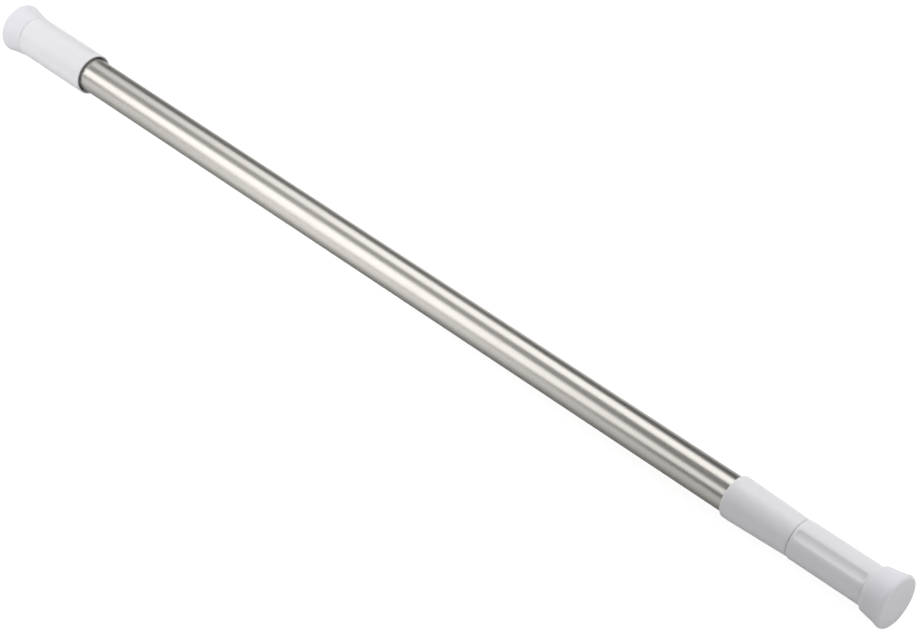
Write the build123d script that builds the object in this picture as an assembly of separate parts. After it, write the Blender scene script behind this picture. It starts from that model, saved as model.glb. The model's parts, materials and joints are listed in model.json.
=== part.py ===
from build123d import *
import math
import os

# Extendable tension rod for a light curtain, closed, lying along X. Sizes are in millimetres and degrees.
# The origin is the middle of the far foot's wall face, +X runs to the near foot and +Z is up.
# A sprung cap slides on the far end of the outer tube. The inner tube telescopes out of the near end,
# and turning its grip screws a cone into a split sleeve, which locks it in the outer tube.

# Tubes
OUTER_TUBE_DIAMETER = 22.0
TUBE_WALL = 0.5
TUBE_GAP = 1.0
BARE_TUBE_LENGTH = 530.5
EXTENSION_TRAVEL = 475.0

# Clearances between pieces
GLUED_GAP = 0.05
SEAT_GAP = 0.05
RUNNING_GAP = 0.08
CAP_GUIDE_GAP = 0.15
STEM_GAP = 0.15

# Foot, one moulding used at both ends
FOOT_LENGTH = 16.3
FOOT_WALL = 2.45
FOOT_FLARE = 3.2
FOOT_FACE_THICKNESS = 4.0
FOOT_LAND_RADIUS = 9.5
FOOT_CROWN = 1.1
FOOT_RIM_ROUNDING = 2.2
FOOT_WAIST = 6.0
FOOT_WAIST_DIP = 0.3
FOOT_WAIST_ROUNDING = 30.0
FOOT_SHOULDER_ROUNDING = 1.5

# Spigot that a foot is pushed on, with a snap bead
SPIGOT_WALL = 1.35
BEAD_HEIGHT = 0.45
BEAD_WIDTH = 2.2
BEAD_PLACE = 5.0

# Sprung cap
CAP_SLEEVE_LENGTH = 58.4
CAP_SLEEVE_WALL = 1.12
CAP_MOUTH_GAP = 1.25
CAP_MOUTH_DEPTH = 10.0
CAP_WEB = 3.0
CAP_EDGE_ROUNDING = 0.45
SPIGOT_CHAMFER = 0.4
CAP_CORE_WALL = 2.0
CAP_CORE_RIB = 1.4
CAP_CORE_RIBS = 4
STEM_DIAMETER = 6.8
SPRING_TRAVEL = 15.0
SPRING_SPARE = 0.9
SPRING_LENGTH = 37.4
SPRING_WIRE = 1.6
SPRING_TURNS = 7
SPRING_WIRE_SIDES = 8
SPRING_SIDE_GAP = 0.45
SEAT_CUP_WALL = 1.6
SEAT_FLANGE = 1.5
SEAT_FLOOR = 3.0
SEAT_LEAD = 0.8
CAP_SCREW_DIAMETER = 3.0
CAP_SCREW_LENGTH = 18.0
CAP_SCREW_HEAD_DIAMETER = 7.0
CAP_SCREW_HEAD_HEIGHT = 2.6
CAP_SCREW_RECESS_WIDTH = 1.0
CAP_SCREW_RECESS_SPAN = 3.6
CAP_SCREW_RECESS_DEPTH = 1.3
CAP_WASHER_DIAMETER = 13.0
CAP_WASHER_THICKNESS = 1.2

# Collar and bush at the outer tube's mouth
COLLAR_LENGTH = 44.5
COLLAR_WALL = 1.75
COLLAR_NECK_WALL = 1.75
COLLAR_NECK_GAP = 0.25
COLLAR_TUBE_LAP = 22.0
COLLAR_LAND = 5.0
COLLAR_TUBE_ROUNDING = 1.3
COLLAR_GRIP_ROUNDING = 1.6
BUSH_LENGTH = 20.0
BUSH_FLANGE = 1.5
BUSH_LEAD = 0.6

# Grip and the inner tube's outer end
COLLAR_TO_GRIP = 0.4
GRIP_LENGTH = 49.0
GRIP_WALL = 2.35
GRIP_ROUNDING = 0.9
GRIP_END_WALL = 3.5
FLUTE_COUNT = 3
FLUTE_WIDTH = 5.6
FLUTE_DEPTH = 0.9
FLUTE_MARGIN = 1.0
FLUTE_END_ROUNDING = 2.0
FLUTE_ANGLE = 59.0
END_PLUG_LENGTH = 14.0
END_PLUG_FLANGE = 1.5
END_PLUG_WALL = 1.8
PLUG_LEAD = 0.5

# Twist lock, from the cap side to the inner tube
LOCK_START = 86.0
LOCK_PITCH = 2.0
LOCK_TURNS = 1.5
STUD_DIAMETER = 6.0
STUD_TIP = 1.6
STUD_HEX = 10.0
STUD_HEAD_HEIGHT = 4.0
STOP_NUT_HEIGHT = 4.0
STOP_NUT_GAP = 0.3
STUD_BORE_GAP = 0.4
CONE_ANGLE = 10.0
CONE_LENGTH = 16.0
CONE_COLLAR = 4.0
CONE_LOCKED_GAP = 0.08
CONE_LAP = 8.0
CONE_KEY_WIDTH = 1.2
CONE_KEY_START = 2.0
CONE_KEY_LENGTH = 9.0
CONE_KEY_INSET = 0.5
EXPANDER_GAP = 0.15
EXPANDER_MOUTH_WALL = 1.75
EXPANDER_TAPER = 14.0
EXPANDER_HUB = 14.0
EXPANDER_SLOTS = 4
EXPANDER_SLOT_WIDTH = 1.6
EXPANDER_SLOT_LENGTH = 17.0
EXPANDER_GROOVES = 5
EXPANDER_GROOVE_PITCH = 2.4
EXPANDER_GROOVE_WIDTH = 1.0
EXPANDER_GROOVE_DEPTH = 0.4
RING_THICKNESS = 1.8
RING_PLACE = 5.0
THRUST_WASHER_DIAMETER = 17.0
THRUST_WASHER_THICKNESS = 1.2
LOCK_PLUG_FLANGE = 2.0
LOCK_PLUG_LENGTH = 20.0

# Radii that follow from the sizes above
outer_radius = OUTER_TUBE_DIAMETER / 2
outer_bore = outer_radius - TUBE_WALL
inner_radius = outer_bore - TUBE_GAP
inner_bore = inner_radius - TUBE_WALL
cap_guide = outer_radius + CAP_GUIDE_GAP
cap_mouth = outer_radius + CAP_MOUTH_GAP
cap_radius = cap_mouth + CAP_SLEEVE_WALL
grip_bore = inner_radius + GLUED_GAP
grip_radius = grip_bore + GRIP_WALL
spigot_radius = grip_bore + SPIGOT_WALL
foot_bore = spigot_radius + GLUED_GAP
foot_neck = foot_bore + FOOT_WALL
foot_rim = foot_neck + FOOT_FLARE
seat_radius = outer_bore - GLUED_GAP
seat_cup = seat_radius - SEAT_CUP_WALL
spring_radius = seat_cup - SPRING_SIDE_GAP - SPRING_WIRE / 2
stem_radius = STEM_DIAMETER / 2
cap_screw_radius = CAP_SCREW_DIAMETER / 2
stud_radius = STUD_DIAMETER / 2
expander_radius = outer_bore - EXPANDER_GAP
lock_travel = LOCK_PITCH * LOCK_TURNS
cone_slope = math.tan(math.radians(CONE_ANGLE))
cone_rest_gap = lock_travel * cone_slope + CONE_LOCKED_GAP

# Places along the rod
cap_start = FOOT_LENGTH
cap_end = cap_start + CAP_SLEEVE_LENGTH
web_end = cap_start + CAP_WEB
tube_start = web_end + SPRING_TRAVEL + SPRING_SPARE + SEAT_FLANGE
spring_start = web_end
seat_floor_start = spring_start + SPRING_LENGTH + SEAT_GAP
seat_end = seat_floor_start + SEAT_FLOOR
stem_end = seat_end + SEAT_GAP
collar_start = cap_end + BARE_TUBE_LENGTH
collar_end = collar_start + COLLAR_LENGTH
tube_end = collar_start + COLLAR_TUBE_LAP
grip_start = collar_end + COLLAR_TO_GRIP
grip_end = grip_start + GRIP_LENGTH
closed_length = grip_end + FOOT_LENGTH
spigot_end = closed_length - FOOT_FACE_THICKNESS
end_plug_end = spigot_end - GRIP_END_WALL
inner_tube_end = end_plug_end - END_PLUG_FLANGE
nut_start = LOCK_START + STUD_TIP
cone_start = nut_start + STOP_NUT_HEIGHT + STOP_NUT_GAP
cone_end = cone_start + CONE_LENGTH
expander_start = cone_end - CONE_LAP
taper_end = expander_start + EXPANDER_TAPER
expander_end = taper_end + EXPANDER_HUB
thrust_start = expander_end + RUNNING_GAP
lock_plug_start = thrust_start + THRUST_WASHER_THICKNESS
inner_tube_start = lock_plug_start + LOCK_PLUG_FLANGE
lock_plug_end = inner_tube_start + LOCK_PLUG_LENGTH


def turned(*corners):
    """Solid turned about the rod's axis. A corner is (place along X, radius) and may add a rounding."""
    points = [corner[:2] for corner in corners]
    roundings = [corner[2] if len(corner) > 2 else 0 for corner in corners]
    return revolve(make_face(FilletPolyline(*points, radius=roundings, close=True)), Axis.X)


def ring(start, end, bore, radius):
    """Plain ring about the rod's axis."""
    return turned((start, bore), (start, radius), (end, radius), (end, bore))


def around(count, piece, first_angle=0):
    """Copies of a piece turned evenly about the rod's axis."""
    return [piece.rotate(Axis.X, first_angle + i * 360 / count) for i in range(count)]


def hexagon(start, end, across_flats):
    """Hexagonal prism along the rod's axis."""
    outline = RegularPolygon(across_flats / 2, 6, major_radius=False)
    return extrude(Plane.YZ.offset(start) * outline, end - start)


def bar(start, end, low, high, width):
    """Rectangular bar that reaches from one radius to another above the rod's axis."""
    block = Box(end - start, width, high - low, align=(Align.MIN, Align.CENTER, Align.MIN))
    return Pos(start, 0, low) * block


def foot():
    """Flared soft foot: a cup with a crowned wall face, a waisted flank and a groove for the snap bead."""
    inside = FOOT_FACE_THICKNESS
    waist_radius = foot_neck + FOOT_FLARE * (1 - FOOT_WAIST / FOOT_LENGTH) - FOOT_WAIST_DIP
    cup = turned(
        (0, 0),
        (0, FOOT_LAND_RADIUS, FOOT_LAND_RADIUS),
        (FOOT_CROWN, foot_rim, FOOT_RIM_ROUNDING),
        (FOOT_WAIST, waist_radius, FOOT_WAIST_ROUNDING),
        (FOOT_LENGTH, foot_neck, FOOT_SHOULDER_ROUNDING),
        (FOOT_LENGTH, foot_bore),
        (inside, foot_bore),
        (inside, 0),
    )
    return cup - bead(FOOT_LENGTH, -1, GLUED_GAP)


def bead(shoulder, direction, growth=0.0):
    """Snap bead round a spigot, or with a growth the groove that it sits in."""
    middle = shoulder + direction * BEAD_PLACE
    foot_half = BEAD_WIDTH / 2 + growth
    crest_half = BEAD_WIDTH / 4 + growth
    crest = spigot_radius + BEAD_HEIGHT + growth
    root = spigot_radius - SPIGOT_WALL / 2
    return turned(
        (middle - foot_half, root),
        (middle - foot_half, spigot_radius),
        (middle - crest_half, crest),
        (middle + crest_half, crest),
        (middle + foot_half, spigot_radius),
        (middle + foot_half, root),
    )


def far_foot_pad():
    return foot()


def near_foot_pad():
    return mirror(foot(), about=Plane.YZ.offset(closed_length / 2))


def spring_cap_sleeve():
    """Loose sleeve with a ribbed spigot for the foot, a web, and a centre stem that holds the cap on."""
    spigot_start = FOOT_FACE_THICKNESS
    guide_end = cap_end - CAP_MOUTH_DEPTH
    body = turned(
        (spigot_start, 0),
        (spigot_start, spigot_radius - SPIGOT_CHAMFER),
        (spigot_start + SPIGOT_CHAMFER, spigot_radius),
        (cap_start, spigot_radius),
        (cap_start, cap_radius, CAP_EDGE_ROUNDING),
        (cap_end, cap_radius, CAP_EDGE_ROUNDING),
        (cap_end, cap_mouth),
        (guide_end, cap_mouth),
        (guide_end, cap_guide),
        (web_end, cap_guide),
        (web_end, stem_radius),
        (stem_end, stem_radius),
        (stem_end, 0),
    )
    body += bead(cap_start, -1)
    core_radius = spigot_radius - CAP_CORE_WALL
    hub_radius = stem_radius + CAP_CORE_RIB
    core = ring(spigot_start, cap_start, hub_radius, core_radius)
    ribs = around(CAP_CORE_RIBS, bar(spigot_start, cap_start, 0, spigot_radius, CAP_CORE_RIB))
    body -= core - ribs
    pilot = ring(stem_end - CAP_SCREW_LENGTH, stem_end, 0, cap_screw_radius + GLUED_GAP)
    return body - pilot


def cap_spring():
    """Compression spring with both ends ground flat, its round wire drawn with flat sides to stay light."""
    height = SPRING_LENGTH
    centre_line = Helix(pitch=height / SPRING_TURNS, height=height, radius=spring_radius)
    across = Plane(origin=centre_line @ 0, z_dir=centre_line % 0)
    wire = across * RegularPolygon(SPRING_WIRE / 2, SPRING_WIRE_SIDES)
    coil = sweep(wire, path=centre_line, is_frenet=True)
    ground = Cylinder(2 * spring_radius, height, align=(Align.CENTER, Align.CENTER, Align.MIN))
    return Pos(spring_start, 0, 0) * (Rot(0, 90, 0) * (coil & ground))


def cap_retaining_washer():
    start = stem_end
    return ring(start, start + CAP_WASHER_THICKNESS, cap_screw_radius + GLUED_GAP, CAP_WASHER_DIAMETER / 2)


def cap_retaining_screw():
    """Pan-head screw with a cross recess, driven into the stem through the washer."""
    head_start = stem_end + CAP_WASHER_THICKNESS
    head_end = head_start + CAP_SCREW_HEAD_HEIGHT
    tip = stem_end - CAP_SCREW_LENGTH + GLUED_GAP
    screw = turned(
        (tip, 0),
        (tip + cap_screw_radius, cap_screw_radius),
        (head_start, cap_screw_radius),
        (head_start, CAP_SCREW_HEAD_DIAMETER / 2),
        (head_end, CAP_SCREW_HEAD_DIAMETER / 2, CAP_SCREW_HEAD_HEIGHT / 2),
        (head_end, 0),
    )
    half_span = CAP_SCREW_RECESS_SPAN / 2
    blade = bar(head_end - CAP_SCREW_RECESS_DEPTH, head_end, -half_span, half_span, CAP_SCREW_RECESS_WIDTH)
    return screw - around(4, blade)


def spring_seat_plug():
    """Flanged cup pressed into the tube's far end. Its floor seats the spring and guides the stem."""
    return turned(
        (tube_start - SEAT_FLANGE, seat_cup),
        (tube_start - SEAT_FLANGE, outer_radius),
        (tube_start, outer_radius),
        (tube_start, seat_radius),
        (seat_end - SEAT_LEAD, seat_radius),
        (seat_end, seat_radius - SEAT_LEAD),
        (seat_end, stem_radius + STEM_GAP),
        (seat_floor_start, stem_radius + STEM_GAP),
        (seat_floor_start, seat_cup),
    )


def outer_tube():
    return ring(tube_start, tube_end, outer_bore, outer_radius)


def guide_bush():
    """Flanged bush in the tube's mouth, with a lead-in at its inner end."""
    start = tube_end - BUSH_LENGTH
    flange_end = tube_end + BUSH_FLANGE
    bore = inner_radius + RUNNING_GAP
    return turned(
        (start, bore),
        (start, seat_radius - BUSH_LEAD / 2),
        (start + BUSH_LEAD, seat_radius),
        (tube_end, seat_radius),
        (tube_end, outer_radius),
        (flange_end, outer_radius),
        (flange_end, bore),
    )


def mouth_collar():
    """Collar over the tube's mouth: a short land, then a long taper down to the neck that faces the grip."""
    socket = outer_radius + GLUED_GAP
    socket_end = tube_end + BUSH_FLANGE + GLUED_GAP
    neck_bore = inner_radius + COLLAR_NECK_GAP
    return turned(
        (collar_start, socket),
        (collar_start, socket + COLLAR_WALL, COLLAR_TUBE_ROUNDING),
        (collar_start + COLLAR_LAND, socket + COLLAR_WALL, COLLAR_LAND),
        (collar_end, neck_bore + COLLAR_NECK_WALL, COLLAR_GRIP_ROUNDING),
        (collar_end, neck_bore),
        (socket_end, neck_bore),
        (socket_end, socket),
    )


def expander_sleeve():
    """Split sleeve: four slotted, grooved fingers round a tapered mouth, and a solid hub with the ring groove."""
    mouth = expander_radius - EXPANDER_MOUTH_WALL
    taper_floor = mouth - EXPANDER_TAPER * cone_slope
    hub_bore = stud_radius + STUD_BORE_GAP
    sleeve = turned(
        (expander_start, mouth),
        (expander_start, expander_radius),
        (expander_end, expander_radius),
        (expander_end, hub_bore),
        (taper_end, hub_bore),
        (taper_end, taper_floor),
    )
    slot_end = expander_start + EXPANDER_SLOT_LENGTH
    slot = bar(expander_start, slot_end, 0, outer_radius, EXPANDER_SLOT_WIDTH)
    drill = Cylinder(EXPANDER_SLOT_WIDTH, outer_radius, align=(Align.CENTER, Align.CENTER, Align.MIN))
    relief = Pos(slot_end, 0, 0) * drill
    slots = around(EXPANDER_SLOTS, slot + relief)
    spare = Part() + slots
    hub = ring(taper_end, expander_end, 0, taper_floor)
    sleeve -= spare - hub
    for i in range(EXPANDER_GROOVES):
        start = expander_start + (i + 1) * EXPANDER_GROOVE_PITCH
        bottom = expander_radius - EXPANDER_GROOVE_DEPTH
        sleeve -= ring(start, start + EXPANDER_GROOVE_WIDTH, bottom, outer_radius)
    return sleeve - ring_groove()


def ring_middle():
    """Place and radius of the circle along the middle of the drag ring's section."""
    return expander_end - RING_PLACE, outer_bore - GLUED_GAP - RING_THICKNESS / 2


def ring_groove():
    """Groove round the expander's hub, with room for the drag ring."""
    place, radius = ring_middle()
    half = RING_THICKNESS / 2 + GLUED_GAP
    return ring(place - half, place + half, radius - half, outer_radius)


def drag_ring():
    """Rubber ring of square section that drags on the outer tube."""
    place, radius = ring_middle()
    half = RING_THICKNESS / 2
    return ring(place - half, place + half, radius - half, radius + half)


def expander_cone():
    """Cone nut with keys that run in the expander's slots, so that it slides and can't turn."""
    mouth = expander_radius - EXPANDER_MOUTH_WALL
    tip = mouth - CONE_LAP * cone_slope - cone_rest_gap
    base = tip + (CONE_LENGTH - CONE_COLLAR) * cone_slope
    bore = stud_radius + RUNNING_GAP
    cone = turned(
        (cone_start, bore),
        (cone_start, base),
        (cone_start + CONE_COLLAR, base),
        (cone_end, tip),
        (cone_end, bore),
    )
    key_start = cone_start + CONE_KEY_START
    key_top = expander_radius - CONE_KEY_INSET
    key = bar(key_start, key_start + CONE_KEY_LENGTH, (stud_radius + tip) / 2, key_top, CONE_KEY_WIDTH)
    return cone + around(EXPANDER_SLOTS, key)


def lock_stud():
    """Stud with a hexagonal head, shown at its thread's outside diameter."""
    head_start = lock_plug_end - STUD_HEAD_HEIGHT
    shank = turned(
        (LOCK_START, 0),
        (LOCK_START, stud_radius - STUD_TIP / 2),
        (LOCK_START + STUD_TIP / 2, stud_radius),
        (head_start, stud_radius),
        (head_start, 0),
    )
    return shank + hexagon(head_start, lock_plug_end, STUD_HEX)


def stud_stop_nut():
    bore = ring(nut_start, nut_start + STOP_NUT_HEIGHT, 0, stud_radius + GLUED_GAP)
    return hexagon(nut_start, nut_start + STOP_NUT_HEIGHT, STUD_HEX) - bore


def thrust_washer():
    bore = stud_radius + GLUED_GAP
    return ring(thrust_start, lock_plug_start, bore, THRUST_WASHER_DIAMETER / 2)


def lock_plug():
    """Flanged plug in the inner tube's end, with a hexagonal pocket that keeps the stud from turning."""
    bore = stud_radius + GLUED_GAP
    barrel = inner_bore - GLUED_GAP
    plug = turned(
        (lock_plug_start, bore),
        (lock_plug_start, inner_radius),
        (inner_tube_start, inner_radius),
        (inner_tube_start, barrel),
        (lock_plug_end - PLUG_LEAD, barrel),
        (lock_plug_end, barrel - PLUG_LEAD),
        (lock_plug_end, bore),
    )
    pocket_start = lock_plug_end - STUD_HEAD_HEIGHT - GLUED_GAP
    return plug - hexagon(pocket_start, lock_plug_end, STUD_HEX + 2 * GLUED_GAP)


def inner_tube():
    return ring(inner_tube_start, inner_tube_end, inner_bore, inner_radius)


def inner_tube_end_plug():
    """Cored plug with a flange that caps the inner tube's outer end."""
    start = inner_tube_end - END_PLUG_LENGTH
    barrel = inner_bore - GLUED_GAP
    core = barrel - END_PLUG_WALL
    return turned(
        (start, core),
        (start, barrel - PLUG_LEAD),
        (start + PLUG_LEAD, barrel),
        (inner_tube_end, barrel),
        (inner_tube_end, inner_radius),
        (end_plug_end, inner_radius),
        (end_plug_end, 0),
        (inner_tube_end, 0),
        (inner_tube_end, core),
    )


def flute_cutter():
    """Long shallow cutter whose round edge meets the grip's skin at the flute's width and depth."""
    half_width = FLUTE_WIDTH / 2
    bottom = grip_radius - FLUTE_DEPTH
    edge_height = math.sqrt(grip_radius**2 - half_width**2)
    rise = edge_height - bottom
    cutter_radius = (half_width**2 + rise**2) / (2 * rise)
    length = GRIP_LENGTH - 2 * FLUTE_MARGIN
    roller = Cylinder(cutter_radius, length)
    roller = fillet(roller.edges().filter_by(GeomType.CIRCLE), FLUTE_END_ROUNDING)
    middle = (grip_start + grip_end) / 2
    return Pos(middle, 0, bottom + cutter_radius) * (Rot(0, 90, 0) * roller)


def grip_sleeve():
    """Grip moulded over the inner tube's end, closed, with its own spigot for the foot and long flutes."""
    grip = turned(
        (grip_start, grip_bore),
        (grip_start, grip_radius, GRIP_ROUNDING),
        (grip_end, grip_radius),
        (grip_end, spigot_radius),
        (spigot_end - SPIGOT_CHAMFER, spigot_radius),
        (spigot_end, spigot_radius - SPIGOT_CHAMFER),
        (spigot_end, 0),
        (end_plug_end + GLUED_GAP, 0),
        (end_plug_end + GLUED_GAP, grip_bore),
    )
    grip += bead(grip_end, 1)
    from_top = 90 - FLUTE_ANGLE
    return grip - around(FLUTE_COUNT, flute_cutter(), from_top)


PIECES = [
    far_foot_pad,
    spring_cap_sleeve,
    cap_spring,
    cap_retaining_screw,
    cap_retaining_washer,
    outer_tube,
    spring_seat_plug,
    guide_bush,
    mouth_collar,
    expander_sleeve,
    drag_ring,
    expander_cone,
    lock_stud,
    stud_stop_nut,
    thrust_washer,
    lock_plug,
    inner_tube,
    inner_tube_end_plug,
    grip_sleeve,
    near_foot_pad,
]

os.makedirs("parts", exist_ok=True)
for make in PIECES:
    export_step(make(), f"parts/{make.__name__}.step")
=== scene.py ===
import json
import math

import bmesh
import bpy
import numpy as np
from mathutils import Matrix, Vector


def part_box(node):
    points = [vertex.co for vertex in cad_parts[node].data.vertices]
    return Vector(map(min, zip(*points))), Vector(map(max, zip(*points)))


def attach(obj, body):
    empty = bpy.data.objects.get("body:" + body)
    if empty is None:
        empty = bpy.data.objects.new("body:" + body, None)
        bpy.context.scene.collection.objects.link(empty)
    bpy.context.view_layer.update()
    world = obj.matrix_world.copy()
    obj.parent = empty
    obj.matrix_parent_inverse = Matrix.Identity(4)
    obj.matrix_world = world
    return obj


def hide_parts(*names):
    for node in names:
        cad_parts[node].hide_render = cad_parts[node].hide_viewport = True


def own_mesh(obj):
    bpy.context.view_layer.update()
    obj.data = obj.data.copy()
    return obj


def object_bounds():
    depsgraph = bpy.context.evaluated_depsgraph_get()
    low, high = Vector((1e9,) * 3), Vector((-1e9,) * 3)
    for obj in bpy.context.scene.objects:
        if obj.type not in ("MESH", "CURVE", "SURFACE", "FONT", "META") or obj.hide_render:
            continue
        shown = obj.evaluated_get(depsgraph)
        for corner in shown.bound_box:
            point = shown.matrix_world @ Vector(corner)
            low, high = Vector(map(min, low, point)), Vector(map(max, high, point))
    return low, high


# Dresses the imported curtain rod. The rod lies along X, with the sprung cap's wall face at X = 0 and the
# grip at the other end. Outlines are (place along X, radius) in millimetres and become metres in lay().

MM = 0.001
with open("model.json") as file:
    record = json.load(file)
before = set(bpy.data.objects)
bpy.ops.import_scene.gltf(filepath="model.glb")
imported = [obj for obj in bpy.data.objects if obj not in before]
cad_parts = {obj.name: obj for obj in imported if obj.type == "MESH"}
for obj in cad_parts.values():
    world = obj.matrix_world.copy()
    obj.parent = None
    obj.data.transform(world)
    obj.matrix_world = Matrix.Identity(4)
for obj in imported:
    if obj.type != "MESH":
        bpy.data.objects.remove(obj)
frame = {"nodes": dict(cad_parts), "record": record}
cad_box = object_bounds()

# Camera, in metres and degrees. CAMERA_NEAREST_X is the point of the rod's axis that lies nearest to
# it, and CAMERA_RISE its angle round the rod, counted upwards from the side that the photograph shows.
# It aims at (AIM_X, 0, AIM_Z) and sees as far as CAMERA_REACH.
PHOTO_WIDTH = 921
SENSOR_WIDTH = 36.0
FOCAL_PIXELS = 2700.0
CAMERA_DISTANCE = 1.316
CAMERA_NEAREST_X = 1.2059
CAMERA_RISE = 51.57
CAMERA_REACH = 50.0
AIM_X = 0.4012
AIM_Z = -0.0012

# Fineness of the meshes. A rounding above LARGE_ROUNDING has the larger number of steps, FLAT_MARGIN is
# how far inside a long straight run its shading is steadied, and TOUCH is what counts as the same
# radius.
ROUND_STEPS = 8
LARGE_ROUNDING = 3.0
LARGE_ROUND_STEPS = 24
TURNS_SMOOTH = 256
FLAT_MARGIN = 0.15
LONG_RUN = 4 * FLAT_MARGIN
SHARP_ANGLE = 35.0
POLE_SIZE = 1e-7
TOUCH = 0.001

# Tubes
TUBE_WALL = 0.5
TUBE_EDGE = 0.12

# Foot
FOOT_LAND_RADIUS = 9.5
FOOT_CROWN = 1.1
FOOT_FLARE = 3.2
FOOT_RIM_ROUNDING = 2.2
FOOT_WAIST = 6.0
FOOT_WAIST_DIP = 0.3
FOOT_WAIST_ROUNDING = 30.0
FOOT_NECK_RADIUS = 13.45
FOOT_SHOULDER_ROUNDING = 1.5
FOOT_BORE = 11.0
FOOT_FACE_THICKNESS = 4.0
MOULDED_EDGE = 0.25

# Spigots and their snap beads
SPIGOT_RADIUS = 10.9
SPIGOT_CHAMFER = 0.4
BEAD_HEIGHT = 0.45
BEAD_WIDTH = 2.2
BEAD_PLACE = 5.0

# Sprung cap
CAP_MOUTH_RADIUS = 12.25
CAP_GUIDE_RADIUS = 11.15
CAP_MOUTH_DEPTH = 10.0
CAP_WEB = 3.0
CAP_EDGE = 0.45
CAP_STEM_RADIUS = 3.4
CAP_CORE_WALL = 2.0
CAP_CORE_RIB = 1.4
CAP_CORE_RIBS = 4
RIB_REACH = 0.2
CAP_PILOT_RADIUS = 1.55
CAP_PILOT_DEPTH = 18.0

# Collar
COLLAR_SOCKET = 11.05
COLLAR_RADIUS = 12.8
COLLAR_LAND = 5.0
COLLAR_TUBE_ROUNDING = 1.3
COLLAR_NECK_BORE = 9.75
COLLAR_NECK_RADIUS = 11.5
COLLAR_NECK_LENGTH = 20.95
COLLAR_GRIP_ROUNDING = 1.6

# Grip and its flutes. The first flute lies FLUTE_ANGLE degrees up from the side that the photograph
# shows. A flute's shape is worked out within FLUTE_SECTOR degrees of its middle, up to FLUTE_REACH
# above the skin.
GRIP_LENGTH = 49.0
GRIP_RADIUS = 11.9
GRIP_BORE = 9.55
GRIP_ROUNDING = 0.9
GRIP_END_WALL = 3.5
FLUTE_COUNT = 3
FLUTE_WIDTH = 5.6
FLUTE_DEPTH = 0.9
FLUTE_MARGIN = 1.0
FLUTE_END_ROUNDING = 2.0
FLUTE_ANGLE = 59.0
FLUTE_EDGE_SOFTNESS = 0.4
FLUTE_SECTOR = 45.0
FLUTE_REACH = 1.0
GRIP_STEPS = 420
GRIP_RUN_STEPS = 150

# Cap spring
SPRING_WIRE = 1.6
SPRING_TURNS = 7
SPRING_SIDE_STEPS = 20
SPRING_RUN_STEPS = 640

# Metals: dull and bright are the tones between which the drawn lines vary, gloss is the roughness from
# which the lines depart either way, and lines is how many of them there are to a metre. GRAIN_BREAKS is
# how often a line changes along a metre, and MARKS_ROUGHER what handling adds to the roughness.
METALS = {
    "bright_metal": dict(
        name="bright drawn steel",
        dull=(0.62, 0.598, 0.562),
        bright=(0.73, 0.705, 0.665),
        gloss=0.27,
        lines=2500.0,
    ),
    "zinc_steel": dict(
        name="zinc plated steel",
        dull=(0.55, 0.56, 0.58),
        bright=(0.70, 0.71, 0.74),
        gloss=0.32,
        lines=900.0,
    ),
    "spring_steel": dict(
        name="spring wire",
        dull=(0.28, 0.28, 0.29),
        bright=(0.42, 0.42, 0.43),
        gloss=0.3,
        lines=1500.0,
    ),
}
GRAIN_BREAKS = 6.0
GRAIN_SMOOTHER = 0.04
GRAIN_ROUGHER = 0.06
GRAIN_RELIEF = 0.00002
MARKS_ROUGHER = 0.04

# Mouldings: light and shade are the tones of the mottling, rough is the roughness that handling
# polishes, and pebble is the depth of the skin's relief in metres. Light spreads under the skin of the
# white ones.
WHITE_DEPTH = dict(Subsurface_Weight=1.0, Subsurface_Scale=0.0012, Subsurface_Radius=(1.0, 1.0, 1.0))
MOULDINGS = {
    "white_plastic": dict(
        name="white plastic",
        light=(0.80, 0.80, 0.822),
        shade=(0.77, 0.77, 0.792),
        rough=0.42,
        pebble=0.000012,
        **WHITE_DEPTH,
    ),
    "white_rubber": dict(
        name="white vinyl",
        light=(0.787, 0.784, 0.817),
        shade=(0.757, 0.754, 0.787),
        rough=0.5,
        pebble=0.00002,
        **WHITE_DEPTH,
    ),
    "grey_nylon": dict(
        name="natural nylon",
        light=(0.66, 0.66, 0.65),
        shade=(0.60, 0.60, 0.59),
        rough=0.45,
        pebble=0.00002,
    ),
    "black_rubber": dict(
        name="black rubber",
        light=(0.05, 0.05, 0.05),
        shade=(0.03, 0.03, 0.03),
        rough=0.6,
        pebble=0.00003,
    ),
}
PEBBLES_PER_METRE = 2600.0
MOTTLES_PER_METRE = 90.0
MARKS_PER_METRE = 30.0
MARKS_START = 0.52
MARKS_FULL = 0.72
MARKS_POLISH = 0.08

# Sockets of the Mix node for colours, which share their names with those for numbers
MIX_FIRST_COLOUR = 6
MIX_SECOND_COLOUR = 7
MIX_COLOUR = 2

# Studio floor and surroundings. FLOOR_TONE and FLOOR_MOTTLE are its colour, FLOOR_GLOW what it adds
# where the camera sees it, and AMBIENT what the surroundings give as light.
FLOOR_SIZE = 7.0
FLOOR_CLEARANCE = 0.0002
FLOOR_TONE = 0.56
FLOOR_MOTTLE = 0.03
FLOOR_MOTTLES_PER_METRE = 40.0
FLOOR_ROUGHNESS = 0.9
FLOOR_GLOW = 0.79
BACKGROUND_WHITE = 1.0
AMBIENT = 0.41
WHITE = (1.0, 1.0, 1.0, 1.0)
BLACK = (0.0, 0.0, 0.0)

# Lamps light the white pieces and aren't seen in reflections. A lamp's place is (X, angle, distance
# from the rod), it points at the place aim on the rod, and its size is (width, height). Angles are as
# the camera's.
LAMPS = {
    "back lamp": dict(place=(0.5, 124, 1.2), aim=0.5, size=(2.0, 0.87), radiance=2.3),
    "low front lamp": dict(place=(-0.12, 17, 0.5), aim=0.0, size=(0.4, 0.25), radiance=3.7),
    "high front lamp": dict(place=(-0.12, 58, 0.5), aim=0.0, size=(0.4, 0.25), radiance=1.1),
    "end lamp": dict(place=(1.55, 7, 0.38), aim=0.72, size=(0.6, 0.6), radiance=1.5),
}

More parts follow.
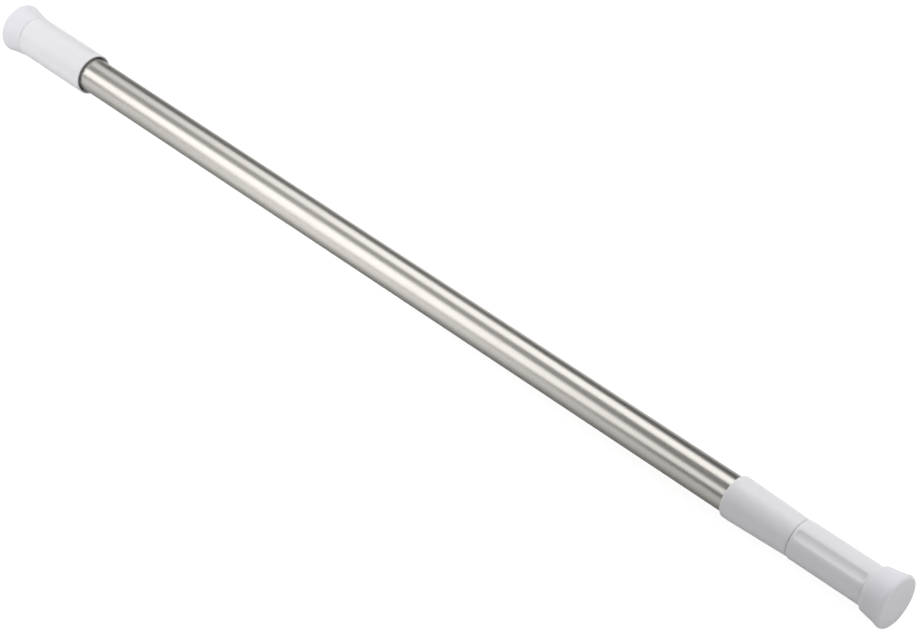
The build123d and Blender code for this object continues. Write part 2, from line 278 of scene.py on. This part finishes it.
# Panels glow softly beside the rod and are seen only in reflections, with dimmer cloths behind them.
# Each is a ribbon through sections: place along X, lower angle, upper angle, tone.
PANEL_DISTANCE = 0.9
CLOTH_DISTANCE = 0.95
RIBBON_ENDS = (-2.4, 1.6)
RIBBON_STEPS = 12
PANELS = {
    "back panel": (
        (-0.62, 97, 135, 0.78),
        (-0.49, 97, 136, 1.17),
        (-0.25, 96, 137, 1.56),
        (0.0, 93.5, 137, 1.56),
        (0.19, 93, 132, 1.48),
    ),
    "front panel": (
        (-0.62, 21, 61, 1.6),
        (-0.49, 10, 65, 1.6),
        (-0.19, 12, 63, 1.67),
        (0.0, 15, 58, 1.5),
        (0.15, 25, 50, 0.98),
    ),
}
CLOTHS = {
    "back cloth": ((-0.62, 115, 186, 0.13), (-0.3, 115, 186, 0.16), (0.19, 115, 186, 0.1)),
    "overhead cloth": (
        (-0.62, 40, 115, 0.3),
        (-0.49, 40, 115, 0.48),
        (-0.19, 40, 115, 0.39),
        (0.19, 40, 115, 0.13),
    ),
    "front cloth": (
        (-0.62, -3, 40, 0.1),
        (-0.49, -3, 40, 1.25),
        (-0.19, -3, 40, 0.87),
        (0.15, -3, 40, 0.0),
    ),
}

# Painted reflection: glow that the floor adds only in reflections, as place along X and tone.
# Near the rod it fades out to a painted shadow, between the two distances from the rod given next.
PAINTED_FLOOR_REFLECTION_TONES = ((0.1, 0.15), (0.2, 0.45), (0.3, 0.45), (0.45, 0.19), (0.58, 0.03))
PAINTED_SHADOW_FADE = (0.014, 0.04)


def rounded(corners):
    """Outline with its corners rounded. At a corner with rounding q and half opening angle h, the arc
    touches each side at q / tan(h) from the corner, and its centre lies at q / sin(h) on the bisector."""
    points = []
    count = len(corners)
    for i, (x, r, *more) in enumerate(corners):
        here = np.array([x, r], float)
        rounding = more[0] if more else 0.0
        if not rounding:
            points.append(here[None])
            continue
        to_last = np.array(corners[i - 1][:2]) - here
        to_next = np.array(corners[(i + 1) % count][:2]) - here
        to_last /= np.linalg.norm(to_last)
        to_next /= np.linalg.norm(to_next)
        half = math.acos(np.clip(to_last @ to_next, -1, 1)) / 2
        bisector = (to_last + to_next) / np.linalg.norm(to_last + to_next)
        centre = here + bisector * rounding / math.sin(half)
        start = here + to_last * rounding / math.tan(half) - centre
        sweep = math.pi - 2 * half
        turn = np.sign(start[0] * (here - centre)[1] - start[1] * (here - centre)[0])
        steps = LARGE_ROUND_STEPS if rounding > LARGE_ROUNDING else ROUND_STEPS
        angles = turn * np.linspace(0, sweep, steps + 1)
        arc = np.stack(
            [
                start[0] * np.cos(angles) - start[1] * np.sin(angles),
                start[0] * np.sin(angles) + start[1] * np.cos(angles),
            ],
            axis=1,
        )
        points.append(centre + arc)
    return np.concatenate(points)


def steadied(outline):
    """Outline with a point a short way inside both ends of each long straight run that isn't on the
    axis, so that the smooth shading of a rounding stays at the rounding."""
    points = []
    for here, there in zip(outline, np.roll(outline, -1, axis=0)):
        run = there - here
        length = np.linalg.norm(run)
        points.append(here)
        if length > LONG_RUN and max(here[1], there[1]) > 0:
            inset = run * FLAT_MARGIN / length
            points.extend([here + inset, there - inset])
    return np.array(points)


def lay(name, points, faces):
    """Mesh object from points in millimetres. Poles are merged, and faces are turned alike and outwards:
    a closed shell whose faces all point inwards has a negative volume."""
    mesh = bpy.data.meshes.new(name)
    mesh.from_pydata((points * MM).tolist(), [], faces)
    shell = bmesh.new()
    shell.from_mesh(mesh)
    bmesh.ops.remove_doubles(shell, verts=shell.verts, dist=POLE_SIZE)
    bmesh.ops.recalc_face_normals(shell, faces=shell.faces)
    if shell.calc_volume(signed=True) < 0:
        bmesh.ops.reverse_faces(shell, faces=shell.faces)
    shell.to_mesh(mesh)
    shell.free()
    mesh.polygons.foreach_set("use_smooth", np.ones(len(mesh.polygons), bool))
    mesh.set_sharp_from_angle(angle=math.radians(SHARP_ANGLE))
    piece = bpy.data.objects.new(name, mesh)
    bpy.context.scene.collection.objects.link(piece)
    return piece


def woven(rows, columns, rows_close, columns_close):
    """Quads of a grid of rows by columns points, as index rows, closed round either way or left open."""
    i = np.arange(rows if rows_close else rows - 1)
    j = np.arange(columns if columns_close else columns - 1)
    i, j = np.meshgrid(i, j, indexing="ij")
    here, below = i * columns, (i + 1) % rows * columns
    beside = (j + 1) % columns
    quads = np.stack([here + j, here + beside, below + beside, below + j], -1)
    return quads.reshape(-1, 4).tolist()


def turned_grid(outline, steps, dent=None):
    """Points of a turned surface: (x, r cos a, r sin a), r less the dent(x, a, r) where one is given."""
    angles = np.linspace(0, 2 * math.pi, steps, endpoint=False)
    x = np.repeat(outline[:, :1], steps, axis=1)
    r = np.repeat(outline[:, 1:], steps, axis=1)
    a = np.broadcast_to(angles, x.shape)
    if dent is not None:
        r = r - dent(x, a, r)
    return np.stack([x, r * np.cos(a), r * np.sin(a)], axis=-1).reshape(-1, 3)


def turned(name, outline, steps=TURNS_SMOOTH, dent=None, ribs=()):
    """Turned piece from its outline, with any ribs. An outline that doesn't start and end on the axis
    closes on itself."""
    on_axis = outline[0, 1] == 0 and outline[-1, 1] == 0
    points = turned_grid(outline, steps, dent)
    faces = woven(len(outline), steps, not on_axis, True)
    for rib_points, rib_faces in ribs:
        faces += (rib_faces + len(points)).tolist()
        points = np.concatenate([points, rib_points])
    return lay(name, points, faces)


def span(node):
    """A node's start and end along X and its largest radius, in millimetres."""
    low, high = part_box(node)
    return low[0] / MM, high[0] / MM, high[2] / MM


def settle(piece, body, slot, material, *nodes):
    """Gives a finished piece its body and material, and lets it stand for its CAD nodes; the slot it is
    given is not used.
    """
    piece.data.materials.append(material)
    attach(piece, body)
    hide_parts(*nodes)


def from_corners(name, corners, **more):
    """Turned piece from its corners, each with its rounding where it has one."""
    return turned(name, steadied(rounded(corners)), **more)


def tube(node):
    """Thin drawn tube with burnished edges at both ends."""
    start, end, radius = span(node)
    bore = radius - TUBE_WALL
    corners = [
        (start, bore, TUBE_EDGE),
        (start, radius, TUBE_EDGE),
        (end, radius, TUBE_EDGE),
        (end, bore, TUBE_EDGE),
    ]
    return from_corners(f"{node}_drawn", corners)


def foot(node, faces_back):
    """Flared foot: crowned wall face, rounded rim, waisted flank, shoulder, and a socket for the spigot.
    A foot that faces back has its wall face at the node's start, and the other one at its end."""
    start, end, _ = span(node)
    length = end - start
    waist_radius = FOOT_NECK_RADIUS + FOOT_FLARE * (1 - FOOT_WAIST / length) - FOOT_WAIST_DIP
    groove = FOOT_BORE + BEAD_HEIGHT
    place = length - BEAD_PLACE
    half = BEAD_WIDTH / 2
    corners = [
        (0, 0),
        (0, FOOT_LAND_RADIUS, FOOT_LAND_RADIUS),
        (FOOT_CROWN, FOOT_NECK_RADIUS + FOOT_FLARE, FOOT_RIM_ROUNDING),
        (FOOT_WAIST, waist_radius, FOOT_WAIST_ROUNDING),
        (length, FOOT_NECK_RADIUS, FOOT_SHOULDER_ROUNDING),
        (length, FOOT_BORE, MOULDED_EDGE),
        (place + half, FOOT_BORE),
        (place + half / 2, groove),
        (place - half / 2, groove),
        (place - half, FOOT_BORE),
        (FOOT_FACE_THICKNESS, FOOT_BORE),
        (FOOT_FACE_THICKNESS, 0),
    ]
    if faces_back:
        corners = [(start + x, *rest) for x, *rest in corners]
    else:
        corners = [(end - x, *rest) for x, *rest in corners]
    return from_corners(f"{node}_moulded", corners)


def bead_corners(shoulder, direction):
    """Corners of the snap bead round a spigot, from the shoulder outwards: foot, crest, crest and foot."""
    middle = shoulder + direction * BEAD_PLACE
    foot_half, crest_half = direction * BEAD_WIDTH / 2, direction * BEAD_WIDTH / 4
    crest = SPIGOT_RADIUS + BEAD_HEIGHT
    return [
        (middle - foot_half, SPIGOT_RADIUS),
        (middle - crest_half, crest),
        (middle + crest_half, crest),
        (middle + foot_half, SPIGOT_RADIUS),
    ]


def cap_sleeve():
    """Loose sleeve: thin mouth, guide bore, web, stem with a screw hole, and a cored and ribbed spigot."""
    spigot_start, end, radius = span("spring_cap_sleeve")
    _, start, _ = span("far_foot_pad")
    stem_end, *_ = span("cap_retaining_washer")
    guide_end = end - CAP_MOUTH_DEPTH
    web_end = start + CAP_WEB
    hub_radius = CAP_STEM_RADIUS + CAP_CORE_RIB
    core_radius = SPIGOT_RADIUS - CAP_CORE_WALL
    corners = [
        (spigot_start, 0),
        (spigot_start, hub_radius),
        (start, hub_radius),
        (start, core_radius),
        (spigot_start, core_radius),
        (spigot_start, SPIGOT_RADIUS - SPIGOT_CHAMFER),
        (spigot_start + SPIGOT_CHAMFER, SPIGOT_RADIUS),
        *reversed(bead_corners(start, -1)),
        (start, SPIGOT_RADIUS),
        (start, radius, CAP_EDGE),
        (end, radius, CAP_EDGE),
        (end, CAP_MOUTH_RADIUS, MOULDED_EDGE),
        (guide_end, CAP_MOUTH_RADIUS, MOULDED_EDGE),
        (guide_end, CAP_GUIDE_RADIUS, MOULDED_EDGE),
        (web_end, CAP_GUIDE_RADIUS),
        (web_end, CAP_STEM_RADIUS, MOULDED_EDGE),
        (stem_end, CAP_STEM_RADIUS, MOULDED_EDGE),
        (stem_end, CAP_PILOT_RADIUS),
        (stem_end - CAP_PILOT_DEPTH, CAP_PILOT_RADIUS),
        (stem_end - CAP_PILOT_DEPTH, 0),
    ]
    ribs = [rib(spigot_start, start, hub_radius, core_radius, turn) for turn in range(CAP_CORE_RIBS)]
    return from_corners("spring_cap_sleeve_moulded", corners, ribs=ribs)


def rib(start, end, low, high, turn):
    """Rib across the spigot's core as a closed box, whose sides reach a little into the walls round it."""
    half = CAP_CORE_RIB / 2
    spans = ((start, end + RIB_REACH), (-half, half), (low - RIB_REACH, high + RIB_REACH))
    x, y, z = np.stack(np.meshgrid(*spans, indexing="ij")).reshape(3, -1)
    angle = 2 * math.pi * turn / CAP_CORE_RIBS
    across = y * math.cos(angle) - z * math.sin(angle)
    up = y * math.sin(angle) + z * math.cos(angle)
    faces = [(0, 1, 3, 2), (4, 6, 7, 5), (0, 4, 5, 1), (2, 3, 7, 6), (0, 2, 6, 4), (1, 5, 7, 3)]
    return np.stack([x, across, up], axis=1), np.array(faces)


def collar():
    """Tapered collar with a rounded lip round the tube and a narrow neck that faces the grip."""
    start, end, _ = span("mouth_collar")
    socket_end = end - COLLAR_NECK_LENGTH
    corners = [
        (start, COLLAR_SOCKET, MOULDED_EDGE / 2),
        (start, COLLAR_RADIUS, COLLAR_TUBE_ROUNDING),
        (start + COLLAR_LAND, COLLAR_RADIUS, COLLAR_LAND),
        (end, COLLAR_NECK_RADIUS, COLLAR_GRIP_ROUNDING),
        (end, COLLAR_NECK_BORE, MOULDED_EDGE),
        (socket_end, COLLAR_NECK_BORE),
        (socket_end, COLLAR_SOCKET),
    ]
    return from_corners("mouth_collar_moulded", corners)


def flute_dent(start, end):
    """How far the flutes lie under the grip's skin. A flute is cut by a long roller of radius q, whose
    axis runs at distance d above the rod's, so at angle t from the flute's middle the cut lies at radius
    d cos t - sqrt(q^2 - (d sin t)^2). The roller's ends are rounded, which rounds the flute's ends. With
    depth u under the skin and edge softness s, (u + sqrt(u^2 + s^2)) / 2 rounds the flute's long edges."""
    half_width = FLUTE_WIDTH / 2
    bottom = GRIP_RADIUS - FLUTE_DEPTH
    rise = math.sqrt(GRIP_RADIUS**2 - half_width**2) - bottom
    roller = (half_width**2 + rise**2) / (2 * rise)
    distance = bottom + roller
    middles = math.radians(180 - FLUTE_ANGLE) + np.arange(FLUTE_COUNT) * 2 * math.pi / FLUTE_COUNT
    first, last = start + FLUTE_MARGIN, end - FLUTE_MARGIN
    beyond = (math.hypot(FLUTE_REACH, FLUTE_EDGE_SOFTNESS) - FLUTE_REACH) / 2

    def dent(x, a, r):
        from_end = np.clip(np.minimum(x - first, last - x), 0, FLUTE_END_ROUNDING)
        inset = FLUTE_END_ROUNDING - from_end
        q = roller - FLUTE_END_ROUNDING + np.sqrt(FLUTE_END_ROUNDING**2 - inset**2)
        depth = np.zeros_like(r)
        for middle in middles:
            t = (a - middle + math.pi) % (2 * math.pi) - math.pi
            side = np.clip(distance * np.sin(t), -q, q)
            cut = distance * np.cos(t) - np.sqrt(q**2 - side**2)
            near = np.abs(t) < math.radians(FLUTE_SECTOR)
            under = np.where(near, np.maximum(r - cut, -FLUTE_REACH), -FLUTE_REACH)
            rounded_edge = (under + np.hypot(under, FLUTE_EDGE_SOFTNESS)) / 2
            depth = np.maximum(depth, rounded_edge - beyond)
        skin = (r > GRIP_RADIUS - GRIP_ROUNDING / 2) & (x < end)
        return np.where(skin, np.clip(depth, 0, None), 0)

    return dent


def grip():
    """Grip with long flutes, closed at its outer end, with the spigot for the foot. Its skin gets a close
    row of points for the flutes, and its outline is moved round to start and end on the axis."""
    start, spigot_end, _ = span("grip_sleeve")
    end = start + GRIP_LENGTH
    blind = spigot_end - GRIP_END_WALL
    corners = [
        (start, GRIP_BORE, MOULDED_EDGE),
        (start, GRIP_RADIUS, GRIP_ROUNDING),
        (end, GRIP_RADIUS),
        (end, SPIGOT_RADIUS),
        *bead_corners(end, 1),
        (spigot_end - SPIGOT_CHAMFER, SPIGOT_RADIUS),
        (spigot_end, SPIGOT_RADIUS - SPIGOT_CHAMFER),
        (spigot_end, 0),
        (blind, 0),
        (blind, GRIP_BORE),
    ]
    outline = steadied(rounded(corners))
    skin = np.flatnonzero(outline[:, 1] > GRIP_RADIUS - TOUCH)
    first, last = skin[0], skin[-1]
    run = np.linspace(outline[first], outline[last], GRIP_RUN_STEPS)
    outline = np.concatenate([outline[:first], run, outline[last + 1 :]])
    seam = np.flatnonzero(outline[:, 1] == 0)[1]
    outline = np.roll(outline, -seam, axis=0)
    return turned("grip_sleeve_moulded", outline, GRIP_STEPS, flute_dent(start, end))


def spring():
    """Coiled wire: a circle of the wire's radius carried along a helix about X, and ground flat at both
    ends, where points past the seat are brought back to its plane."""
    start, end, reach = span("cap_spring")
    wire = SPRING_WIRE / 2
    coil = reach - wire
    along = np.linspace(0, 1, SPRING_RUN_STEPS)[:, None]
    round_wire = np.linspace(0, 2 * math.pi, SPRING_SIDE_STEPS, endpoint=False)[None]
    turn = 2 * math.pi * SPRING_TURNS * along
    radius = coil + wire * np.cos(round_wire)
    x = np.clip(start + (end - start) * along + wire * np.sin(round_wire), start, end)
    grid = np.stack([x, radius * np.cos(turn), radius * np.sin(turn)], -1).reshape(-1, 3)
    faces = woven(SPRING_RUN_STEPS, SPRING_SIDE_STEPS, False, True)
    first_end = list(range(SPRING_SIDE_STEPS))
    last_end = list(range(len(grid) - SPRING_SIDE_STEPS, len(grid)))
    return lay("cap_spring_coiled", grid, [*faces, first_end, last_end])


def put(tree, kind, settings=None, **inputs):
    """Adds a node and sets or links its inputs, named with an underscore where the socket has a space."""
    node = tree.nodes.new(kind)
    for key, value in (settings or {}).items():
        setattr(node, key, value)
    for key, value in inputs.items():
        socket = node.inputs[key.replace("_", " ")]
        if isinstance(value, bpy.types.NodeSocket):
            tree.links.new(value, socket)
        else:
            socket.default_value = value
    return node


def effect(name, inputs, outputs):
    """Empty shader group with its sockets, and its input and output nodes."""
    group = bpy.data.node_groups.new(name, "ShaderNodeTree")
    for label, kind, value in inputs:
        socket = group.interface.new_socket(label, in_out="INPUT", socket_type=kind)
        if value is not None:
            socket.default_value = value
    for label in outputs:
        group.interface.new_socket(label, in_out="OUTPUT", socket_type="NodeSocketFloat")
    return group, group.nodes.new("NodeGroupInput"), group.nodes.new("NodeGroupOutput")


def ramp(tree, value, start, end, first, second):
    """Value that goes evenly from first to second while the given one goes from start to end."""
    node = put(tree, "ShaderNodeMapRange", Value=value)
    for socket, number in zip(("From Min", "From Max", "To Min", "To Max"), (start, end, first, second)):
        node.inputs[socket].default_value = number
    return node.outputs["Result"]


def between(tree, mask, first, second):
    """Value that goes evenly from first to second with a mask from 0 to 1."""
    return ramp(tree, mask, 0.0, 1.0, first, second)


def reckoned(tree, operation, *values):
    """Sum, product or other reckoning of values, each a socket or a number."""
    node = put(tree, "ShaderNodeMath", {"operation": operation})
    for socket, value in zip(node.inputs, values):
        if isinstance(value, bpy.types.NodeSocket):
            tree.links.new(value, socket)
        else:
            socket.default_value = value
    return node.outputs["Value"]


def drawn_lines():
    """Fine lines along X, as drawing leaves them: noise stretched along the piece, coarse and fine."""
    group, given, result = effect(
        "drawn lines",
        [
            ("Place", "NodeSocketVector", None),
            ("Lines per Metre", "NodeSocketFloat", METALS["bright_metal"]["lines"]),
            ("Breaks per Metre", "NodeSocketFloat", GRAIN_BREAKS),
        ],
        ["Lines"],
    )
    across = given.outputs["Lines per Metre"]
    along = given.outputs["Breaks per Metre"]
    stretch = put(group, "ShaderNodeCombineXYZ", X=along, Y=across, Z=across)
    place = put(group, "ShaderNodeVectorMath", {"operation": "MULTIPLY"})
    group.links.new(given.outputs["Place"], place.inputs[0])
    group.links.new(stretch.outputs[0], place.inputs[1])
    place = place.outputs["Vector"]
    noise = put(group, "ShaderNodeTexNoise", Vector=place, Scale=1.0, Detail=4.0, Roughness=0.65)
    group.links.new(noise.outputs["Fac"], result.inputs["Lines"])
    return group


def moulded_skin():
    """Moulded skin: a fine pebble from the tool's surface, and slow mottling of the melt."""
    group, given, result = effect(
        "moulded skin",
        [
            ("Place", "NodeSocketVector", None),
            ("Pebbles per Metre", "NodeSocketFloat", PEBBLES_PER_METRE),
            ("Mottles per Metre", "NodeSocketFloat", MOTTLES_PER_METRE),
        ],
        ["Pebble", "Mottle"],
    )
    place = given.outputs["Place"]
    fine, slow = given.outputs["Pebbles per Metre"], given.outputs["Mottles per Metre"]
    pebble = put(group, "ShaderNodeTexNoise", Vector=place, Scale=fine, Detail=2.0)
    mottle = put(group, "ShaderNodeTexNoise", Vector=place, Scale=slow, Detail=3.0)
    group.links.new(pebble.outputs["Fac"], result.inputs["Pebble"])
    group.links.new(mottle.outputs["Fac"], result.inputs["Mottle"])
    return group


def handling_marks():
    """Soft patches where hands have been: slow noise, raised so that only its peaks stay."""
    group, given, result = effect(
        "handling marks",
        [("Place", "NodeSocketVector", None), ("Patches per Metre", "NodeSocketFloat", MARKS_PER_METRE)],
        ["Mask"],
    )
    place, scale = given.outputs["Place"], given.outputs["Patches per Metre"]
    noise = put(group, "ShaderNodeTexNoise", Vector=place, Scale=scale, Detail=5.0, Distortion=0.6)
    peaks = ramp(group, noise.outputs["Fac"], MARKS_START, MARKS_FULL, 0.0, 1.0)
    group.links.new(peaks, result.inputs["Mask"])
    return group


class Finish:
    """A material under construction: its tree, its shader and the place on the piece."""

    def __init__(self, name, **constants):
        self.material = bpy.data.materials.new(name)
        self.material.use_nodes = True
        self.tree = self.material.node_tree
        self.shader = self.tree.nodes["Principled BSDF"]
        self.place = put(self.tree, "ShaderNodeTexCoord").outputs["Object"]
        for key, value in constants.items():
            self.shader.inputs[key.replace("_", " ")].default_value = value

    def effect(self, group, **inputs):
        """Places a shader group with its values and returns what it puts out."""
        node = put(self.tree, "ShaderNodeGroup", {"node_tree": group}, Place=self.place)
        for key, value in inputs.items():
            node.inputs[key.replace("_", " ")].default_value = value
        return node.outputs

    def blend(self, mask, first, second):
        """Colour between two, by a mask from 0 to 1."""
        mix = put(self.tree, "ShaderNodeMix", {"data_type": "RGBA"})
        self.tree.links.new(mask, mix.inputs["Factor"])
        mix.inputs[MIX_FIRST_COLOUR].default_value = (*first, 1.0)
        mix.inputs[MIX_SECOND_COLOUR].default_value = (*second, 1.0)
        return mix.outputs[MIX_COLOUR]

    def feed(self, socket, value):
        """Links a value to a socket of the shader."""
        self.tree.links.new(value, self.shader.inputs[socket])

    def relief(self, height, depth):
        """Bump of the given depth in metres."""
        bump = put(self.tree, "ShaderNodeBump", Height=height, Strength=1.0, Distance=depth)
        self.feed("Normal", bump.outputs["Normal"])


def drawn_metal(lines_group, marks_group, name, dull, bright, gloss, lines):
    """Bright metal with lines along the piece: they vary its tone, gloss and relief."""
    finish = Finish(name, Metallic=1.0)
    grain = finish.effect(lines_group, Lines_per_Metre=lines)["Lines"]
    marks = finish.effect(marks_group)["Mask"]
    finish.feed("Base Color", finish.blend(grain, dull, bright))
    clean = between(finish.tree, grain, gloss - GRAIN_SMOOTHER, gloss + GRAIN_ROUGHER)
    finish.feed("Roughness", reckoned(finish.tree, "MULTIPLY_ADD", marks, MARKS_ROUGHER, clean))
    finish.relief(grain, GRAIN_RELIEF)
    return finish.material


def moulded(skin_group, marks_group, name, light, shade, rough, pebble, **constants):
    """Moulded plastic or rubber: mottled tone, pebble relief, and gloss that handling has changed."""
    finish = Finish(name, **constants)
    skin = finish.effect(skin_group)
    marks = finish.effect(marks_group)["Mask"]
    finish.feed("Base Color", finish.blend(skin["Mottle"], shade, light))
    finish.feed("Roughness", between(finish.tree, marks, rough, rough - MARKS_POLISH))
    finish.relief(skin["Pebble"], pebble)
    return finish.material


def look_at(thing, target):
    """Turns a camera or lamp so that it points at the target, with Z up."""
    direction = target - thing.location
    thing.rotation_euler = direction.to_track_quat("-Z", "Y").to_euler()


def around_rod(angle, distance, x):
    """Point at an angle round the rod, counted upwards from the side that the photograph shows."""
    a = math.radians(angle)
    return Vector((x, -distance * math.cos(a), distance * math.sin(a)))


def soft_box(name, place, aim, size, radiance):
    """Square-edged lamp. A lamp of power P and area A shines with P / (pi A) in each direction."""
    x, angle, distance = place
    lamp = bpy.data.lights.new(name, "AREA")
    lamp.shape = "RECTANGLE"
    lamp.size, lamp.size_y = size
    lamp.energy = radiance * math.pi * size[0] * size[1]
    stand = bpy.data.objects.new(name, lamp)
    stand.location = around_rod(angle, distance, x)
    look_at(stand, Vector((aim, 0, 0)))
    stand.visible_camera = False
    stand.visible_glossy = False
    bpy.context.scene.collection.objects.link(stand)


def faded(tree, x, tones):
    """Tone that changes evenly between places along X: the first tone plus the rise of each run."""
    (_, total), *_ = tones
    for (start, first), (end, second) in zip(tones, tones[1:]):
        total = reckoned(tree, "ADD", total, ramp(tree, x, start, end, 0.0, second - first))
    return total


def ribbon(name, distance, sections):
    """Long glowing strip bent round the rod, seen only in reflections. It goes on past its sections to
    both RIBBON_ENDS."""
    first, last = sections[0], sections[-1]
    rows = [(RIBBON_ENDS[0], *first[1:]), *sections, (RIBBON_ENDS[1], *last[1:])]
    corners = [
        around_rod(angle, distance, x)
        for x, low, high, _ in rows
        for angle in np.linspace(low, high, RIBBON_STEPS)
    ]
    mesh = bpy.data.meshes.new(name)
    mesh.from_pydata(corners, [], woven(len(rows), RIBBON_STEPS, False, False))
    sheet = bpy.data.objects.new(name, mesh)
    bpy.context.scene.collection.objects.link(sheet)
    paint = bpy.data.materials.new(name)
    paint.use_nodes = True
    tree = paint.node_tree
    tree.nodes.clear()
    place = put(tree, "ShaderNodeTexCoord").outputs["Object"]
    x = put(tree, "ShaderNodeSeparateXYZ", Vector=place).outputs["X"]
    strength = faded(tree, x, [(start, tone) for start, _, _, tone in sections])
    glow = put(tree, "ShaderNodeEmission", Color=WHITE, Strength=strength)
    put(tree, "ShaderNodeOutputMaterial", Surface=glow.outputs["Emission"])
    mesh.materials.append(paint)
    sheet.visible_camera = False
    sheet.visible_diffuse = False
    sheet.visible_shadow = False
    sheet.visible_transmission = False


def seen_directly(tree, *in_reflections):
    """1 for the camera and through glass, the product of the given values for reflections, and 0 for
    light that only lights things."""
    path = put(tree, "ShaderNodeLightPath").outputs
    glossy = path["Is Glossy Ray"]
    for value in in_reflections:
        glossy = reckoned(tree, "MULTIPLY", glossy, value)
    total = reckoned(tree, "ADD", path["Is Camera Ray"], path["Is Transmission Ray"])
    return reckoned(tree, "ADD", total, glossy)


def floor_paint():
    """Pale floor that the camera sees brightened to white, with painted glow and painted shadow in
    reflections.
    """
    paint = Finish("studio floor", Roughness=FLOOR_ROUGHNESS, Emission_Strength=1.0)
    tree = paint.tree
    noise = put(tree, "ShaderNodeTexNoise", Vector=paint.place, Scale=FLOOR_MOTTLES_PER_METRE, Detail=3.0)
    tones = (FLOOR_TONE,) * 3, (FLOOR_TONE + FLOOR_MOTTLE,) * 3
    paint.feed("Base Color", paint.blend(noise.outputs["Fac"], *tones))
    places = put(tree, "ShaderNodeSeparateXYZ", Vector=paint.place).outputs
    # Painted reflection and painted shadow: in reflections the floor glows by tones along X, fading out
    # near the rod.
    aside = reckoned(tree, "ABSOLUTE", places["Y"])
    outside_painted_shadow = ramp(tree, aside, *PAINTED_SHADOW_FADE, 0.0, 1.0)
    mask = seen_directly(tree, faded(tree, places["X"], PAINTED_FLOOR_REFLECTION_TONES), outside_painted_shadow)
    paint.feed("Emission Color", paint.blend(mask, BLACK, (FLOOR_GLOW,) * 3))
    return paint.material


def studio():
    """Pale floor under the rod, white surroundings, lamps, and panels for the reflections."""
    low, _ = cad_box
    half = FLOOR_SIZE / 2
    level = low[2] - FLOOR_CLEARANCE
    corners = [(x, y, level) for x, y in ((-half, -half), (half, -half), (half, half), (-half, half))]
    mesh = bpy.data.meshes.new("floor")
    mesh.from_pydata(corners, [], [(0, 1, 2, 3)])
    mesh.materials.append(floor_paint())
    floor = bpy.data.objects.new("floor", mesh)
    bpy.context.scene.collection.objects.link(floor)

    world = bpy.data.worlds.new("studio")
    bpy.context.scene.world = world
    world.use_nodes = True
    tree = world.node_tree
    back = tree.nodes["Background"]
    back.inputs["Color"].default_value = WHITE
    strength = between(tree, seen_directly(tree), AMBIENT, BACKGROUND_WHITE)
    tree.links.new(strength, back.inputs["Strength"])

    for name, lamp in LAMPS.items():
        soft_box(name, **lamp)
    for name, sections in PANELS.items():
        ribbon(name, PANEL_DISTANCE, sections)
    for name, sections in CLOTHS.items():
        ribbon(name, CLOTH_DISTANCE, sections)


def place_camera():
    """Camera at the photograph's angle. It aims at the point that lies in the picture's middle."""
    lens = bpy.data.cameras.new("camera")
    lens.sensor_width = SENSOR_WIDTH
    lens.lens = FOCAL_PIXELS * SENSOR_WIDTH / PHOTO_WIDTH
    lens.clip_end = CAMERA_REACH
    camera = bpy.data.objects.new("camera", lens)
    camera.location = around_rod(CAMERA_RISE, CAMERA_DISTANCE, CAMERA_NEAREST_X)
    look_at(camera, Vector((AIM_X, 0, AIM_Z)))
    bpy.context.scene.collection.objects.link(camera)
    bpy.context.scene.camera = camera


def dress():
    """Makes the finishes, puts the detailed pieces in place, and coats the CAD pieces that stay."""
    lines, skin, marks = drawn_lines(), moulded_skin(), handling_marks()
    finishes = {slot: drawn_metal(lines, marks, **look) for slot, look in METALS.items()}
    finishes.update((slot, moulded(skin, marks, **look)) for slot, look in MOULDINGS.items())
    pieces = [
        (tube("outer_tube"), "outer_rod", "bright_metal", "outer_tube"),
        (tube("inner_tube"), "inner_rod", "bright_metal", "inner_tube"),
        (foot("far_foot_pad", True), "spring_cap", "white_rubber", "far_foot_pad"),
        (foot("near_foot_pad", False), "inner_rod", "white_rubber", "near_foot_pad"),
        (cap_sleeve(), "spring_cap", "white_plastic", "spring_cap_sleeve"),
        (collar(), "outer_rod", "white_plastic", "mouth_collar"),
        (grip(), "inner_rod", "white_plastic", "grip_sleeve"),
        (spring(), "spring_cap", "spring_steel", "cap_spring"),
    ]
    for piece, body, slot, node in pieces:
        settle(piece, body, slot, finishes[slot], node)
    coil = pieces[-1][0]
    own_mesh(coil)
    replaced = {node for *_, node in pieces}
    for subpart in frame["record"]["subparts"]:
        node = subpart["node"]
        if node not in replaced:
            materials = frame["nodes"][node].data.materials
            materials.clear()
            materials.append(finishes[subpart["material_slot"]])


place_camera()
dress()
studio()
bpy.context.scene.view_settings.view_transform = "Standard"
